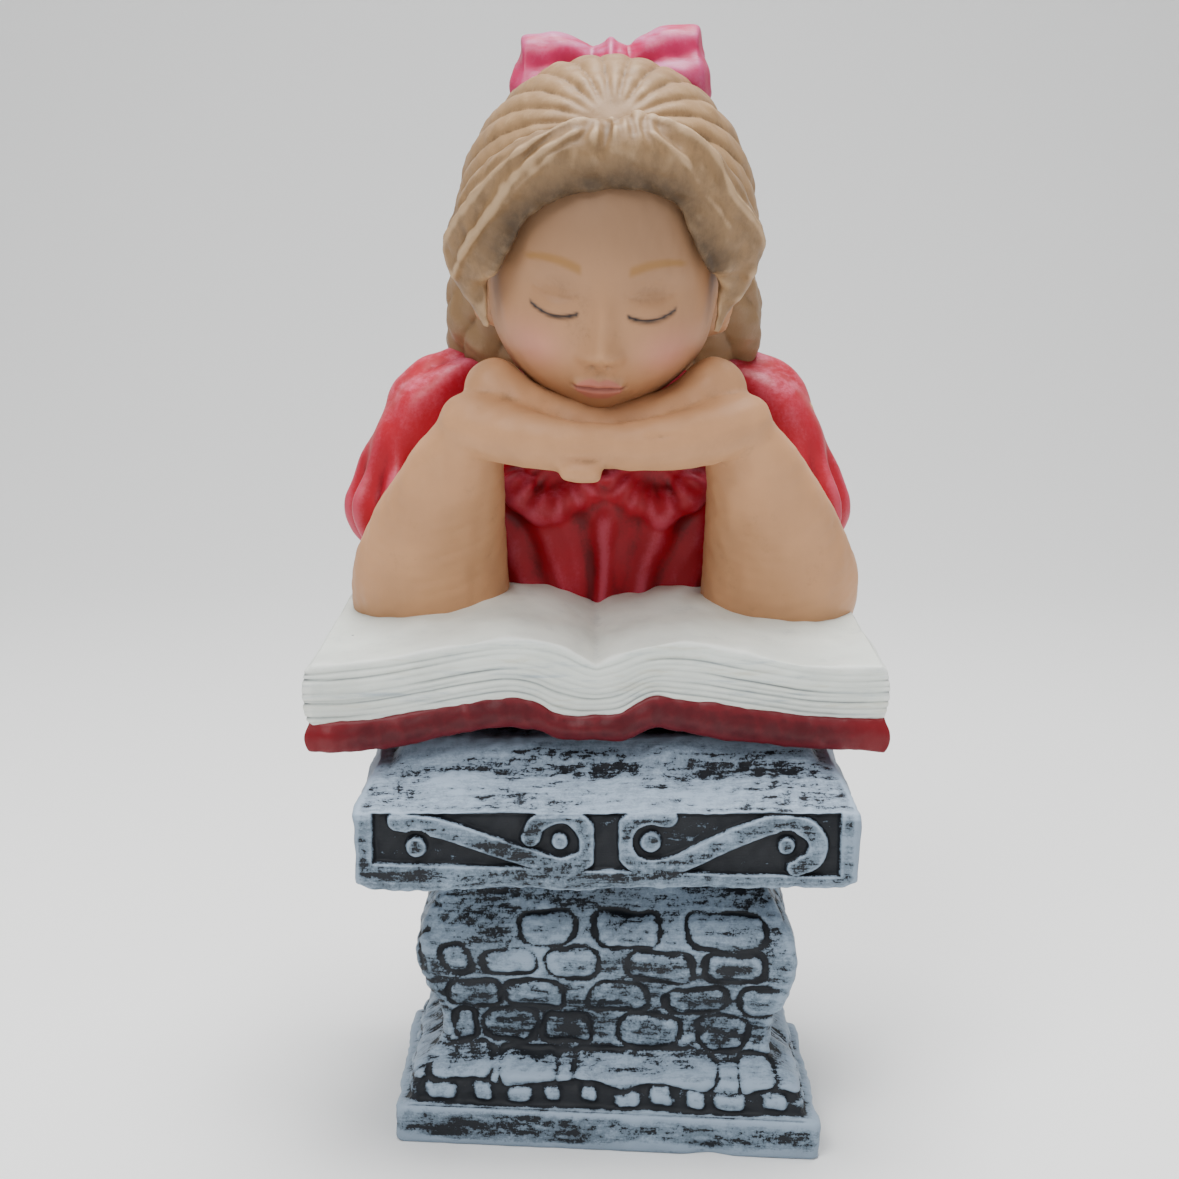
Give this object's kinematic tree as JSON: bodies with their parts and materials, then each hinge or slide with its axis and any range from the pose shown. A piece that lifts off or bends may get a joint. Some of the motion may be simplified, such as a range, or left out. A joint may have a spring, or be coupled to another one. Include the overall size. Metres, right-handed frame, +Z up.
{
  "type": "reading girl garden statue",
  "caption": "Painted concrete garden statue of a girl who rests her chin on crossed hands over an open book, on a cobbled pedestal.",
  "frame": {"origin": "centre of the underside of the plinth", "axes": "+Z up through the head, the front with face and book looks along -Y, +X to the right in a front view"},
  "size_m": [0.331, 0.2465, 0.6209],
  "materials": {
    "painted_concrete": "cast concrete, brush painted in several colours, satin"
  },
  "bodies": {
    "root": {"reading_girl_statue": "painted_concrete"}
  },
  "joints": []
}
